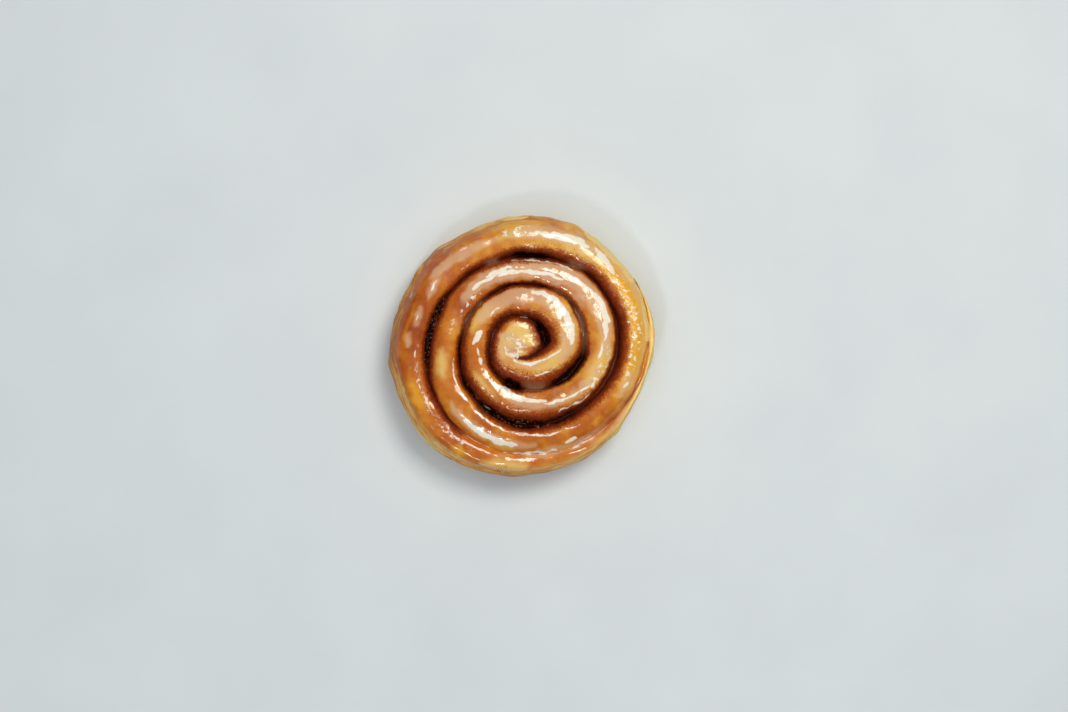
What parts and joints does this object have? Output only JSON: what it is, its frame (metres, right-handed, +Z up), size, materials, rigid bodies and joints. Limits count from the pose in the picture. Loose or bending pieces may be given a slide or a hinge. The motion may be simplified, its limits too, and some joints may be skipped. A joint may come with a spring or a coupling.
{
  "type": "cinnamon roll",
  "caption": "Round glazed cinnamon roll: a spiral of baked dough with deep dark filling grooves, a domed top, a bulging side and a flat base.",
  "frame": {"origin": "middle of the flat base, under the middle of the roll's bounding box", "axes": "+Z up, out of the spiral top; +X towards the side where the tail of the strip ends; seen from +Z the strip winds outward anticlockwise"},
  "size_m": [0.115, 0.1126, 0.0341],
  "materials": {
    "glazed_dough": "baked dough under a thin glossy sugar glaze",
    "cinnamon_filling": "dark sticky cinnamon sugar, wet gloss",
    "sugar_glaze": "thin milky sugar glaze, wet gloss"
  },
  "bodies": {
    "root": {"cinnamon_roll": "glazed_dough"}
  },
  "joints": []
}
